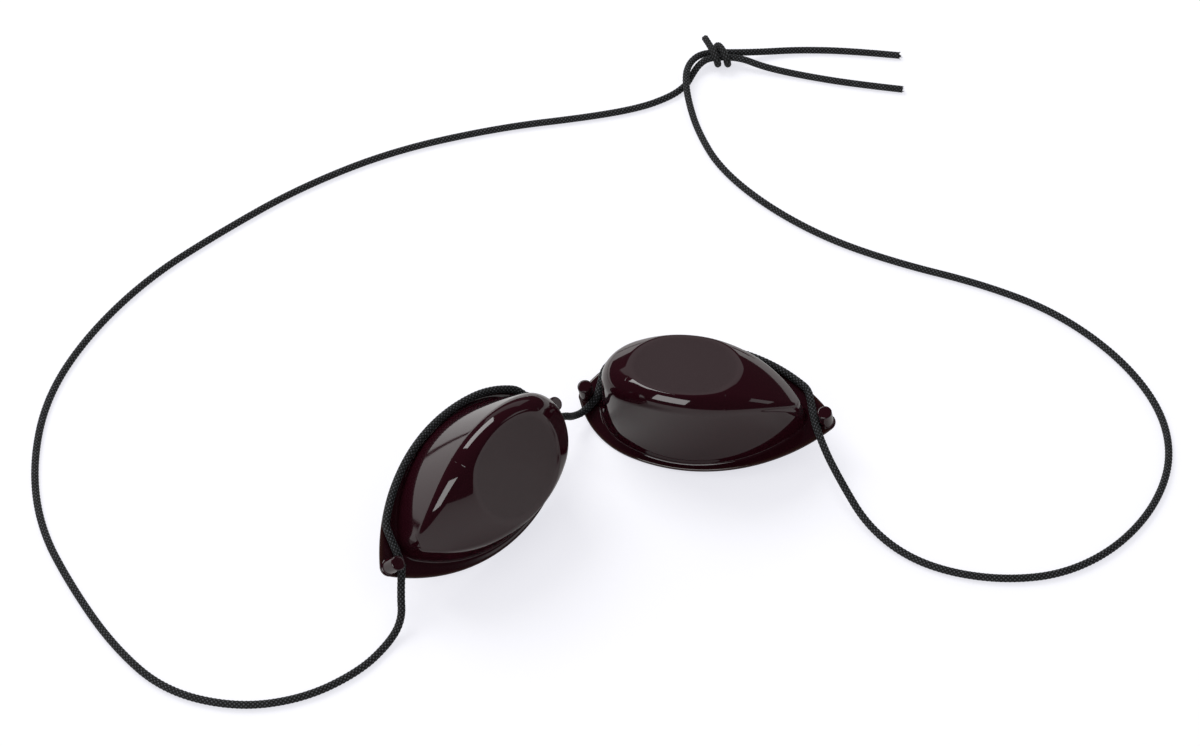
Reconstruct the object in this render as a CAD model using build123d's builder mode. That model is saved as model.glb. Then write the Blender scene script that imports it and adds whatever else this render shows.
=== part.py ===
from build123d import *
from math import acos, atan2, cos, degrees, hypot, pi, radians, sin, sqrt, tan
import os

# Tanning goggles lying on a table: two eye cups of one moulding, laced on one round elastic
# cord whose two ends pass through a small sliding knot. Millimetres, +Z up, table at Z zero.
# A cup is drawn in its own frame: X from the nose post to the temple post, Z out of the face.

# Plan of the eye cup
POST_SPACING = 60.0
CUP_HALF_WIDTH = 17.2
WIDEST_SHARE = 0.45
POST_TIP_RADIUS = 2.2
NOSE_ARC_RADIUS = 24.8
FLANGE_WIDTH = 1.4
FLANGE_THICKNESS = 1.0
FLANGE_EDGE_RADIUS = 0.35

# Dome of the eye cup
DOME_NOSE_SETBACK = 3.8
DOME_TEMPLE_SETBACK = 4.8
DOME_TEMPLE_RADIUS = 5.0
DOME_DRAFT = 8.5
CROWN_SHARE = 2 / 3
SHOULDER_RADIUS = 5.5
JUNCTION_RADIUS = 0.6
WALL = 1.7
LENS_OFFSET = (-0.2, 1.6, 19.0)
LENS_RADIUS = 13.8
LENS_TILT_ACROSS = 27.5
LENS_TILT_ALONG = 3.0
LENS_EDGE_BEVEL = 0.35

# Cord posts
POST_RADIUS = 1.8
POST_RISE = 5.0
POST_EDGE_RADIUS = 0.35

# Elastic cord
CORD_DIAMETER = 1.8
CORD_FIT = 0.05
CORD_ON_FLANGE = 0.08
CORD_FROM_EDGE = 0.45
CORD_BEND_RADIUS = 5.0
NOSE_BEND_PLACE = 4.5
TEMPLE_BEND_SETBACK = 7.0
RIGHT_NOSE_WRAP = 26.0
RIGHT_TEMPLE_WRAP = 8.0
LEFT_NOSE_WRAP = 60.0
LEFT_TEMPLE_WRAP = 30.0
CORD_ARC_SHARE = 0.45

# How each cup lies: place of its nose post, heading and rise of its long axis, roll about it
RIGHT_PLACE = (-5.75, 26.23)
RIGHT_HEADING = -13.5
RIGHT_RISE = 5.8
RIGHT_ROLL = 14.4
LEFT_PLACE = (-16.35, 14.43)
LEFT_HEADING = 233.0
LEFT_RISE = -1.5
LEFT_ROLL = -38.6

# Sliding knot: one short cord wound round both strands of the band
KNOT_PLACE = (27.0, 150.4)
KNOT_STRAND_GAP = 0.1
KNOT_FIT = 0.25
KNOT_FLOOR_GAP = 0.02
KNOT_PITCH = 2.7
KNOT_SLANT = 0.8
KNOT_FIRST_QUARTER = 1
KNOT_LAST_QUARTER = 7
KNOT_STUB = 5.0

# Routes of the free stretches, corner by corner: on the table, except where they climb. Those
# near a cup count along and across from its temple end, and up from the table.
BRIDGE_RUN = 4.2
BRIDGE_ROUTE = [
    (-9.9, 17.0, 5.4),
]
RIGHT_BAND_FIRST_RUN = 7.0
RIGHT_BAND_FROM_TEMPLE = [
    (6.1, -15.5, 5.2),
    (11.6, -25.0, 1.6),
    (20.1, -34.0, 0.9),
    (31.1, -39.4, 0.9),
    (44.6, -41.4, 0.9),
    (58.1, -39.4, 0.9),
    (71.1, -31.5, 0.9),
]
RIGHT_BAND_ROUTE = [
    (131.0, -7.5, 0.9),
    (136.8, 8.0, 0.9),
    (135.6, 24.5, 0.9),
    (127.0, 41.5, 0.9),
    (112.5, 56.6, 0.9),
    (94.5, 66.3, 0.9),
    (74.0, 73.5, 0.9),
    (56.0, 82.3, 0.9),
    (40.5, 94.5, 0.9),
    (28.8, 108.5, 0.9),
    (23.3, 122.5, 0.9),
    (20.9, 133.5, 1.8),
    (20.2, 141.2, 3.3),
    (21.3, 146.2, 3.5),
    (23.8, 149.9, 3.2),
]
LEFT_BAND_FIRST_RUN = 6.0
LEFT_BAND_FROM_TEMPLE = [
    (0.2, -9.8, 3.2),
    (-2.5, -14.8, 0.95),
    (-9.1, -23.2, 0.9),
    (-21.5, -31.0, 0.9),
    (-36.9, -33.6, 0.9),
    (-53.9, -28.8, 0.9),
    (-66.9, -15.8, 0.9),
]
LEFT_BAND_ROUTE = [
    (-127.4, -32.4, 0.9),
    (-136.8, -14.6, 0.9),
    (-141.0, 5.0, 0.9),
    (-140.2, 27.0, 0.9),
    (-132.4, 47.8, 0.9),
    (-118.8, 68.2, 0.9),
    (-101.6, 84.6, 0.9),
    (-82.0, 101.0, 0.9),
    (-58.0, 115.0, 0.9),
    (-30.0, 123.9, 0.9),
    (-6.0, 128.0, 0.9),
    (8.0, 131.6, 0.9),
    (16.5, 136.2, 0.9),
    (20.6, 140.6, 0.9),
    (22.2, 144.4, 1.2),
    (24.2, 147.7, 2.1),
]
KNOT_STRAND_RUN = 3.7
TAIL_FIRST_RUN = 4.2
UPPER_TAIL_ROUTE = [
    (41.5, 153.2, 1.5),
    (52.0, 154.7, 0.9),
    (66.0, 154.2, 0.9),
    (79.0, 152.4, 0.9),
]
LOWER_TAIL_ROUTE = [
    (41.5, 147.2, 1.5),
    (52.0, 144.4, 0.9),
    (66.0, 141.0, 0.9),
    (79.0, 138.9, 0.9),
]

os.makedirs("parts", exist_ok=True)
widest_place = WIDEST_SHARE * POST_SPACING
crown_radius = CROWN_SHARE * POST_SPACING
lens_place = Vector(widest_place + LENS_OFFSET[0], LENS_OFFSET[1], LENS_OFFSET[2])
cord_radius = CORD_DIAMETER / 2
cord_height = FLANGE_THICKNESS + CORD_ON_FLANGE + cord_radius
post_wrap_radius = POST_RADIUS + CORD_FIT + cord_radius


def tangent_angle(big, small):
    """The direction, seen from the big circle's centre, where a small circle touches it from inside."""
    return degrees(atan2(small[1] - big[1], small[0] - big[0]))


def on_circle(circle, angle):
    """The point of a circle, given as its centre and radius, at an angle in degrees."""
    return (circle[0] + circle[2] * cos(radians(angle)), circle[1] + circle[2] * sin(radians(angle)))


def side_arc(temple_x, temple_radius, half_width):
    """The long side arc that is level at the widest place and touches a temple circle on the axis."""
    reach = temple_x - widest_place
    radius = (reach**2 + half_width**2 - temple_radius**2) / (2 * (half_width - temple_radius))
    return (widest_place, half_width - radius, radius)


def nose_arc(long_side, tip_radius):
    """The fuller arc at the nose end that touches the long side arc and the nose tip from inside."""
    reach_tip = NOSE_ARC_RADIUS - tip_radius
    reach_side = long_side[2] - NOSE_ARC_RADIUS
    spacing = hypot(long_side[0], long_side[1])
    along = (reach_tip**2 - reach_side**2 + spacing**2) / (2 * spacing)
    across = sqrt(reach_tip**2 - along**2)
    unit_x, unit_y = long_side[0] / spacing, long_side[1] / spacing
    return (along * unit_x - across * unit_y, along * unit_y + across * unit_x, NOSE_ARC_RADIUS)


def round_end(long_side, end_x):
    """The circle on the axis that ends a plan at end_x and touches the long side arc from inside."""
    reach = long_side[2] + end_x
    span = reach**2 - long_side[0]**2 - long_side[1]**2
    centre = span / (2 * (reach - long_side[0]))
    return (centre, 0, centre - end_x)


flange_side = side_arc(POST_SPACING, POST_TIP_RADIUS, CUP_HALF_WIDTH)
flange_nose = nose_arc(flange_side, POST_TIP_RADIUS)
flange_circles = [
    (POST_SPACING, 0, POST_TIP_RADIUS),
    flange_side,
    flange_nose,
    (0, 0, POST_TIP_RADIUS),
]
dome_temple = (POST_SPACING - DOME_TEMPLE_SETBACK - DOME_TEMPLE_RADIUS, 0, DOME_TEMPLE_RADIUS)
dome_side = side_arc(dome_temple[0], DOME_TEMPLE_RADIUS, CUP_HALF_WIDTH - FLANGE_WIDTH)
dome_circles = [dome_temple, dome_side, round_end(dome_side, DOME_NOSE_SETBACK)]


def junction_angles(circles):
    """The angles at which a chain of circles, from temple to nose, passes from one to the next."""
    angles = [0]
    for first, second in zip(circles, circles[1:]):
        big, small = (first, second) if first[2] > second[2] else (second, first)
        angles.append(tangent_angle(big, small))
    return angles + [180]


def plan_face(circles, inset=0):
    """The closed plan of a chain of circles and its mirror image, drawn inset by a distance."""
    angles = junction_angles(circles)
    with BuildSketch(mode=Mode.PRIVATE) as plan:
        with BuildLine():
            for circle, start, end in zip(circles, angles, angles[1:]):
                CenterArc(circle[:2], circle[2] - inset, start, end - start)
            mirror(about=Plane.XZ)
        make_face()
    return plan.sketch


lens_normal = Vector(
    sin(radians(LENS_TILT_ALONG)),
    sin(radians(LENS_TILT_ACROSS)),
    sqrt(1 - sin(radians(LENS_TILT_ALONG))**2 - sin(radians(LENS_TILT_ACROSS))**2),
)
crown_centre = lens_place - lens_normal * sqrt(crown_radius**2 - LENS_RADIUS**2)
blank_height = crown_centre.Z + crown_radius + WALL


def dome(inset):
    """The domed body of the cup: drafted walls under a round crown, cut flat where the lens is."""
    lens_plane = Plane(origin=lens_place - lens_normal * inset, z_dir=lens_normal)
    with BuildPart(mode=Mode.PRIVATE) as body:
        add(plan_face(dome_circles, inset))
        extrude(amount=blank_height, taper=DOME_DRAFT)
        with Locations(crown_centre):
            Sphere(crown_radius - inset, mode=Mode.INTERSECT)
        shoulder = body.faces().sort_by(Axis.Z)[-1].outer_wire().edges()
        fillet(shoulder, SHOULDER_RADIUS - inset)
        split(bisect_by=lens_plane, keep=Keep.BOTTOM)
    return body.part


# Eye cup: flange, dome, two cord posts and the hollow for the eye
with BuildPart() as eye_cup:
    add(plan_face(flange_circles))
    extrude(amount=FLANGE_THICKNESS)
    fillet(eye_cup.edges().group_by(Axis.Z)[0], FLANGE_EDGE_RADIUS)
    fillet(eye_cup.edges().group_by(Axis.Z)[-1], FLANGE_EDGE_RADIUS)
    add(dome(0))
    flange_top = eye_cup.faces().filter_by(Plane.XY).filter_by(
        lambda face: abs(face.center().Z - FLANGE_THICKNESS) < FLANGE_EDGE_RADIUS
    )[0]
    fillet(flange_top.inner_wires()[0].edges(), JUNCTION_RADIUS)
    lens_face = eye_cup.faces().sort_by_distance(lens_place)[0]
    chamfer(lens_face.outer_wire().edges(), LENS_EDGE_BEVEL)
    add(dome(WALL), mode=Mode.SUBTRACT)
    for post_x in (0, POST_SPACING):
        with BuildSketch(Plane.XY.move(Location((post_x, 0, 0)))):
            Circle(POST_RADIUS)
        extrude(amount=FLANGE_THICKNESS + POST_RISE)
        post_top = eye_cup.faces().filter_by(Plane.XY).sort_by_distance((post_x, 0, POST_RISE))[0]
        fillet(post_top.edges(), POST_EDGE_RADIUS)


def lying(place, heading, rise, roll):
    """Where a cup drawn in its own frame lies: turned, lifted at one end, rolled, then seated."""
    turned = Location((place[0], place[1], 0)) * Rot(Z=heading) * Rot(Y=-rise) * Rot(X=roll)
    lowest = (turned * eye_cup.part).bounding_box().min.Z
    return Location((0, 0, -lowest)) * turned


right_lie = lying(RIGHT_PLACE, RIGHT_HEADING, RIGHT_RISE, RIGHT_ROLL)
left_lie = lying(LEFT_PLACE, LEFT_HEADING, LEFT_RISE, LEFT_ROLL)
pair_middle = Compound([right_lie * eye_cup.part, left_lie * eye_cup.part]).bounding_box().center()
centring = Location((-pair_middle.X, -pair_middle.Y, 0))
right_lie = centring * right_lie
left_lie = centring * left_lie

with BuildPart() as right_eye_cup:
    add(right_lie * eye_cup.part)
right_eye_cup.part.label = "right_eye_cup"

with BuildPart() as left_eye_cup:
    add(left_lie * eye_cup.part)
left_eye_cup.part.label = "left_eye_cup"


def cord_tube(path):
    """A round cord swept along a path, checked against its section times its length."""
    start = path ^ 0
    with BuildPart(mode=Mode.PRIVATE) as tube:
        with BuildSketch(Plane(origin=start.position, z_dir=start.z_axis.direction)):
            Circle(cord_radius)
        sweep(path=path)
    share = tube.part.volume / (pi * cord_radius**2 * path.length)
    print("cord length", round(path.length, 1), "volume share", round(share, 4))
    return tube.part


# Stretches of cord held by a cup: round the temple post, along the flange, round the nose post
flange_run = (flange_side[0], flange_side[1], flange_side[2] - CORD_FROM_EDGE)
nose_run = (flange_nose[0], flange_nose[1], flange_nose[2] - CORD_FROM_EDGE)
temple_post_wrap = (POST_SPACING, 0, post_wrap_radius)
nose_post_wrap = (0, 0, post_wrap_radius)


def bend_inside(circle, place_x):
    """The cord's bend that leaves a circle from inside at the place x, and its angle there."""
    angle = degrees(acos((place_x - circle[0]) / circle[2]))
    centre = on_circle((circle[0], circle[1], circle[2] - CORD_BEND_RADIUS), angle)
    return (centre[0], centre[1], CORD_BEND_RADIUS), angle


def crossing_angle(bend, post, side):
    """The angle on the bend where the straight run that crosses over to the post leaves it."""
    spacing = hypot(post[0] - bend[0], post[1] - bend[1])
    half = degrees(acos((bend[2] + post[2]) / spacing))
    return degrees(atan2(post[1] - bend[1], post[0] - bend[0])) + side * half


temple_bend, temple_bend_angle = bend_inside(flange_run, POST_SPACING - TEMPLE_BEND_SETBACK)
nose_bend, nose_bend_angle = bend_inside(nose_run, NOSE_BEND_PLACE)
temple_cross = crossing_angle(temple_bend, temple_post_wrap, 1)
nose_cross = crossing_angle(nose_bend, nose_post_wrap, -1) % 360


def rim_path(nose_wrap, temple_wrap):
    """The laced route on the +Y side of a cup, from its temple post to its nose post."""
    side_turn = tangent_angle(flange_run, nose_run)
    with BuildLine() as route:
        CenterArc(temple_post_wrap[:2], post_wrap_radius, temple_cross + 180 + temple_wrap, -temple_wrap)
        Line(on_circle(temple_post_wrap, temple_cross + 180), on_circle(temple_bend, temple_cross))
        CenterArc(temple_bend[:2], CORD_BEND_RADIUS, temple_cross, temple_bend_angle - temple_cross)
        CenterArc(flange_run[:2], flange_run[2], temple_bend_angle, side_turn - temple_bend_angle)
        CenterArc(nose_run[:2], nose_run[2], side_turn, nose_bend_angle - side_turn)
        CenterArc(nose_bend[:2], CORD_BEND_RADIUS, nose_bend_angle, nose_cross - nose_bend_angle)
        Line(on_circle(nose_bend, nose_cross), on_circle(nose_post_wrap, nose_cross + 180))
        CenterArc(nose_post_wrap[:2], post_wrap_radius, nose_cross - 180, -nose_wrap)
    return route.wire()


def laced(lie, mirrored, nose_wrap, temple_wrap):
    """The route of a cup's held cord where the cup lies, from its temple end to its nose end."""
    path = rim_path(nose_wrap, temple_wrap)
    if mirrored:
        path = path.mirror(Plane.XZ)
    return (lie * Location((0, 0, cord_height))) * path


right_rim_path = laced(right_lie, False, RIGHT_NOSE_WRAP, RIGHT_TEMPLE_WRAP)
left_rim_path = laced(left_lie, True, LEFT_NOSE_WRAP, LEFT_TEMPLE_WRAP)

with BuildPart() as right_rim_cord:
    add(cord_tube(right_rim_path))
right_rim_cord.part.label = "right_rim_cord"

with BuildPart() as left_rim_cord:
    add(cord_tube(left_rim_path))
left_rim_cord.part.label = "left_rim_cord"


def cord_route(name, corners):
    """Straight runs joined by tangent arcs, each as large as its two runs allow."""
    radii = []
    for before, corner, after in zip(corners, corners[1:], corners[2:]):
        run_in = Vector(*corner) - Vector(*before)
        run_out = Vector(*after) - Vector(*corner)
        turn = radians(run_in.get_angle(run_out))
        radii.append(CORD_ARC_SHARE * min(run_in.length, run_out.length) / tan(turn / 2))
    with BuildLine() as route:
        FilletPolyline(*corners, radius=radii)
    print(name, "radii", [round(radius, 1) for radius in radii])
    return route.wire()


def beyond(point, direction, run):
    """The point a run away from a point in a direction."""
    return tuple(Vector(*point) + Vector(*direction) * run)


def from_temple(end, offsets):
    """Corners counted along and across from a cord's temple end, at heights above the table."""
    return [(end.X + along, end.Y + across, height) for along, across, height in offsets]


def free_cord(name, corners):
    """A free stretch of cord, labelled and written out under its name."""
    with BuildPart() as stretch:
        add(cord_tube(cord_route(name, corners)))
    stretch.part.label = name
    export_step(stretch.part, f"parts/{name}.step")
    return stretch.part


# Knot: the two strands run side by side along X through a winding of one and a half turns
strand_offset = cord_radius + KNOT_STRAND_GAP / 2
winding_rise = CORD_DIAMETER + KNOT_FIT
winding_reach = strand_offset + winding_rise
strand_height = KNOT_FLOOR_GAP + cord_radius + winding_rise
knot_middle = KNOT_PLACE[0] + KNOT_PITCH * KNOT_LAST_QUARTER / 4 - KNOT_SLANT


def winding_place(quarter):
    """The point and direction of the winding's centre line after a number of quarter turns."""
    angle = quarter * pi / 2
    point = Vector(
        KNOT_PLACE[0] + KNOT_PITCH * quarter / 4 - KNOT_SLANT * cos(angle),
        KNOT_PLACE[1] + winding_reach * cos(angle),
        strand_height + winding_rise * sin(angle),
    )
    direction = Vector(
        KNOT_PITCH / (2 * pi) + KNOT_SLANT * sin(angle),
        -winding_reach * sin(angle),
        winding_rise * cos(angle),
    ).normalized()
    return point, direction


def biarc_joint(first, first_way, last, last_way):
    """Where two arcs meet that leave one point and reach another in given directions."""
    span = last - first
    both = first_way + last_way
    square = 2 * (1 - first_way.dot(last_way))
    reach = (sqrt(span.dot(both)**2 + square * span.dot(span)) - span.dot(both)) / square
    return (first + last + (first_way - last_way) * reach) / 2


def arc_crest(first, first_way, last):
    """The middle of the arc that leaves one point in a direction and reaches another."""
    span = last - first
    half_turn = radians(first_way.get_angle(span))
    bulge = (first_way - span * (first_way.dot(span) / span.dot(span))).normalized()
    return (first + last) / 2 + bulge * (span.length / 2 * tan(half_turn / 2))


places = [winding_place(quarter) for quarter in range(KNOT_FIRST_QUARTER, KNOT_LAST_QUARTER + 1)]
with BuildLine() as winding:
    Line(places[0][0] - places[0][1] * KNOT_STUB, places[0][0])
    for (first, first_way), (last, last_way) in zip(places, places[1:]):
        joint = biarc_joint(first, first_way, last, last_way)
        ThreePointArc(first, arc_crest(first, first_way, joint), joint)
        ThreePointArc(joint, arc_crest(last, last_way * -1, joint), last)
    Line(places[-1][0], places[-1][0] + places[-1][1] * CORD_DIAMETER)
winding_path = winding.wire()

with BuildPart() as slide_knot:
    add(cord_tube(winding_path))
slide_knot.part.label = "slide_knot"

# Free stretches of the elastic cord
right_nose_end, right_nose_way = right_rim_path @ 1, right_rim_path % 1
left_nose_end, left_nose_way = left_rim_path @ 1, left_rim_path % 1
right_temple_end, right_temple_way = right_rim_path @ 0, (right_rim_path % 0) * -1
left_temple_end, left_temple_way = left_rim_path @ 0, (left_rim_path % 0) * -1
upper_middle = (knot_middle, KNOT_PLACE[1] + strand_offset, strand_height)
lower_middle = (knot_middle, KNOT_PLACE[1] - strand_offset, strand_height)

free_cord(
    "bridge_cord",
    [
        tuple(right_nose_end),
        beyond(right_nose_end, right_nose_way, BRIDGE_RUN),
        *BRIDGE_ROUTE,
        beyond(left_nose_end, left_nose_way, BRIDGE_RUN),
        tuple(left_nose_end),
    ],
)
free_cord(
    "right_band_cord",
    [
        tuple(right_temple_end),
        beyond(right_temple_end, right_temple_way, RIGHT_BAND_FIRST_RUN),
        *from_temple(right_temple_end, RIGHT_BAND_FROM_TEMPLE),
        *RIGHT_BAND_ROUTE,
        beyond(upper_middle, (-1, 0, 0), KNOT_STRAND_RUN),
        upper_middle,
    ],
)
free_cord(
    "left_band_cord",
    [
        tuple(left_temple_end),
        beyond(left_temple_end, left_temple_way, LEFT_BAND_FIRST_RUN),
        *from_temple(left_temple_end, LEFT_BAND_FROM_TEMPLE),
        *LEFT_BAND_ROUTE,
        beyond(lower_middle, (-1, 0, 0), KNOT_STRAND_RUN),
        lower_middle,
    ],
)
free_cord(
    "upper_tail_cord",
    [upper_middle, beyond(upper_middle, (1, 0, 0), TAIL_FIRST_RUN), *UPPER_TAIL_ROUTE],
)
free_cord(
    "lower_tail_cord",
    [lower_middle, beyond(lower_middle, (1, 0, 0), TAIL_FIRST_RUN), *LOWER_TAIL_ROUTE],
)

for piece in (right_eye_cup, left_eye_cup, right_rim_cord, left_rim_cord, slide_knot):
    export_step(piece.part, f"parts/{piece.part.label}.step")
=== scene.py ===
"""Tanning goggles on a pale table: glossy tinted eye cups laced on a braided elastic cord.

The eye cups, the cord and the sliding knot are worked out with numpy from the sizes below, placed
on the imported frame, and lit by plain soft studio light. Lengths are in metres."""

import math
from collections import namedtuple

import bpy
import numpy as np
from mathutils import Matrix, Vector


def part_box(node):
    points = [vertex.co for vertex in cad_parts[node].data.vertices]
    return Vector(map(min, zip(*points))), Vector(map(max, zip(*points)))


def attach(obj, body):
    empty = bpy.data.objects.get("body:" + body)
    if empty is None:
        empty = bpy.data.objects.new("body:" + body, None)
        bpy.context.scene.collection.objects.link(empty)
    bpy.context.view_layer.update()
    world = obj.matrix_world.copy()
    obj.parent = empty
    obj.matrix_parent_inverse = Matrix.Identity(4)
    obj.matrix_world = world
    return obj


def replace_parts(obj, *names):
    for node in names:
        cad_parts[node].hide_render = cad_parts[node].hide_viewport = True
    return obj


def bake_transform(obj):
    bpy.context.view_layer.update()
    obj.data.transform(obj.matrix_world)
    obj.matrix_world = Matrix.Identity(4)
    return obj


bl_info = {
    "name": "Tanning goggles",
    "version": (1, 0, 0),
    "blender": (4, 5, 0),
    "location": "View3D > Sidebar > Goggles",
    "description": "Builds tinted tanning goggles with a braided elastic cord",
    "category": "Add Mesh",
}

MM = 0.001
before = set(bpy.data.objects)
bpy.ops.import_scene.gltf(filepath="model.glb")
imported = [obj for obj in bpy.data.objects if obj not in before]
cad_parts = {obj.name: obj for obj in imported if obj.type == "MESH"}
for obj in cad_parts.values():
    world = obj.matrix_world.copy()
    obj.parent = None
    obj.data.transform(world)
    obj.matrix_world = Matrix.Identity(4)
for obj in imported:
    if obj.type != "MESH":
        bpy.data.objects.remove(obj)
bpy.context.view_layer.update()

# Plan of the eye cup: posts on the X axis, nose post at the origin, Z out of the face
POST_SPACING = 60.0 * MM
CUP_HALF_WIDTH = 17.2 * MM
WIDEST_PLACE = 27.0 * MM
POST_TIP_RADIUS = 2.2 * MM
NOSE_ARC_RADIUS = 24.8 * MM
FLANGE_WIDTH = 1.4 * MM
FLANGE_THICKNESS = 1.0 * MM
FLANGE_EDGE_RADIUS = 0.42 * MM

# Dome of the eye cup
DOME_NOSE_SETBACK = 3.8 * MM
DOME_TEMPLE_SETBACK = 4.8 * MM
DOME_TEMPLE_RADIUS = 5.0 * MM
DOME_DRAFT = math.radians(8.5)
CROWN_RADIUS = 40.0 * MM
SHOULDER_RADIUS = 4.6 * MM
JUNCTION_RADIUS = 0.6 * MM
WALL = 1.7 * MM
LENS_PLACE = np.array([26.8, 1.6, 19.0]) * MM
LENS_RADIUS = 13.8 * MM
LENS_TILT_ACROSS = math.radians(27.5)
LENS_TILT_ALONG = math.radians(3.0)
LENS_EDGE_WIDTH = 0.9 * MM
TEMPLE_SHOULDER_START = 0.65
TEMPLE_SHOULDER_SPAN = 0.75
TEMPLE_SHOULDER_CUT = 0.5
LEAST_INNER_SHOULDER = 0.3

# Cord posts
POST_RADIUS = 1.8 * MM
POST_RISE = 5.0 * MM
POST_EDGE_RADIUS = 0.4 * MM
POST_FLARE = 0.45 * MM
POST_SINK = 0.1 * MM
POST_TOP_RINGS = (0.9, 0.05, 5)

# How finely the cup's skin is drawn: columns round it, and rings over each part of it
CUP_COLUMNS = 500
POST_SIDES = 56
AZIMUTH_STEPS = 7201
TURN_WEIGHT = 0.3
WALL_STEPS = 58
SHOULDER_STEPS = 60
CROWN_STEPS = 110
INNER_RINGS = 36
OUTER_RINGS = 84
ROOF_RINGS = 5
BACK_RINGS = 3
EDGE_RINGS = 7
FLANGE_TOP_RINGS = 4
JUNCTION_RINGS = 9
BEVEL_RINGS = 9
LENS_RINGS = 10
POLE_SHARE = 0.02
TINY = 1e-12

# Elastic cord and its way round a cup
CORD_DIAMETER = 1.8 * MM
CORD_FIT = 0.05 * MM
CORD_ON_FLANGE = 0.08 * MM
CORD_FROM_EDGE = 0.45 * MM
CORD_BEND_RADIUS = 5.0 * MM
NOSE_BEND_PLACE = 4.5 * MM
TEMPLE_BEND_PLACE = 53.0 * MM
RIGHT_NOSE_WRAP = math.radians(26.0)
RIGHT_TEMPLE_WRAP = math.radians(8.0)
LEFT_NOSE_WRAP = math.radians(60.0)
LEFT_TEMPLE_WRAP = math.radians(30.0)

# How each cup lies: heading and rise of its long axis, roll about it
RIGHT_LIE = tuple(math.radians(angle) for angle in (-13.5, 5.8, 14.4))
LEFT_LIE = tuple(math.radians(angle) for angle in (233.0, -1.5, -38.6))

# Sliding knot
KNOT_PLACE = np.array([27.0, 150.4]) * MM
KNOT_STRAND_GAP = 0.1 * MM
KNOT_FIT = 0.25 * MM
KNOT_FLOOR_GAP = 0.02 * MM
KNOT_PITCH = 2.7 * MM
KNOT_SLANT = 0.8 * MM
KNOT_FIRST_QUARTER = 1
KNOT_LAST_QUARTER = 7
KNOT_STUB = 5.0 * MM

# Routes of the free stretches, corner by corner; those near a cup count from its temple end
BRIDGE_RUN = 4.2 * MM
BRIDGE_ROUTE = [
    (-9.9, 17.0, 5.4),
]
RIGHT_BAND_FIRST_RUN = 7.0 * MM
RIGHT_BAND_FROM_TEMPLE = [
    (6.1, -15.5, 5.2),
    (11.6, -25.0, 1.6),
    (20.1, -34.0, 0.9),
    (31.1, -39.4, 0.9),
    (44.6, -41.4, 0.9),
    (58.1, -39.4, 0.9),
    (71.1, -31.5, 0.9),
]
RIGHT_BAND_ROUTE = [
    (131.0, -7.5, 0.9),
    (136.8, 8.0, 0.9),
    (135.6, 24.5, 0.9),
    (127.0, 41.5, 0.9),
    (112.5, 56.6, 0.9),
    (94.5, 66.3, 0.9),
    (74.0, 73.5, 0.9),
    (56.0, 82.3, 0.9),
    (40.5, 94.5, 0.9),
    (28.8, 108.5, 0.9),
    (23.3, 122.5, 0.9),
    (20.9, 133.5, 1.8),
    (20.2, 141.2, 3.3),
    (21.3, 146.2, 3.5),
    (23.8, 149.9, 3.2),
]
LEFT_BAND_FIRST_RUN = 6.0 * MM
LEFT_BAND_FROM_TEMPLE = [
    (0.2, -9.8, 3.2),
    (-2.5, -14.8, 0.95),
    (-9.1, -23.2, 0.9),
    (-21.5, -31.0, 0.9),
    (-36.9, -33.6, 0.9),
    (-53.9, -28.8, 0.9),
    (-66.9, -15.8, 0.9),
]
LEFT_BAND_ROUTE = [
    (-127.4, -32.4, 0.9),
    (-136.8, -14.6, 0.9),
    (-141.0, 5.0, 0.9),
    (-140.2, 27.0, 0.9),
    (-132.4, 47.8, 0.9),
    (-118.8, 68.2, 0.9),
    (-101.6, 84.6, 0.9),
    (-82.0, 101.0, 0.9),
    (-58.0, 115.0, 0.9),
    (-30.0, 123.9, 0.9),
    (-6.0, 128.0, 0.9),
    (8.0, 131.6, 0.9),
    (16.5, 136.2, 0.9),
    (20.6, 140.6, 0.9),
    (22.2, 144.4, 1.2),
    (24.2, 147.7, 2.1),
]
KNOT_STRAND_RUN = 3.7 * MM
TAIL_FIRST_RUN = 4.2 * MM
UPPER_TAIL_ROUTE = [
    (41.5, 153.2, 1.5),
    (52.0, 154.7, 0.9),
    (66.0, 154.2, 0.9),
    (79.0, 152.4, 0.9),
]
LOWER_TAIL_ROUTE = [
    (41.5, 147.2, 1.5),
    (52.0, 144.4, 0.9),
    (66.0, 141.0, 0.9),
    (79.0, 138.9, 0.9),
]

# Where the free stretches are cut so that each piece lies over at most one joint, as lengths from the cup
LEFT_BAND_CUTS = [118 * MM, 226 * MM, 318 * MM]
RIGHT_BAND_CUTS = [255 * MM]

LEFT_BAND_BODIES = [
    ("left_cup", "nose_bridge"),
    ("nose_bridge", "right_cup"),
    ("right_cup", "right_cup"),
    ("right_cup", "knot"),
]
RIGHT_BAND_BODIES = [
    ("right_cup", "right_cup"),
    ("right_cup", "knot"),
]
UP_EASING = 25.0 * MM

# How finely the cord's line is drawn
ARC_STEP = 0.1 * MM
CURVE_STEPS = 32
KNOT_STEPS = 1200
LEAST_STEP = 1e-7

# Braid: ribbons wound each way, and how finely their relief is drawn
RIBBONS = 6
RIBBON_PITCH = 1.05 * MM
BRAID_RELIEF = 0.2 * MM
BRAID_STEP_SHARE = 0.075
BRAID_MIDDLE = 0.7
UNDER_CROSSING = 0.25
CORD_SIDES = 40
FILAMENTS = 4
FRAY_COUNT = 44
FRAY_LENGTH = 0.9 * MM
FRAY_RADIUS = 0.1 * MM
FRAY_RINGS = 9
FRAY_SIDES = 5
FRAY_SHORTEST = 0.35
FRAY_LEAN = 0.25
FRAY_SPREAD = 0.35
FRAY_ROOT = 0.42
FRAY_TAPER = 0.6

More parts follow.
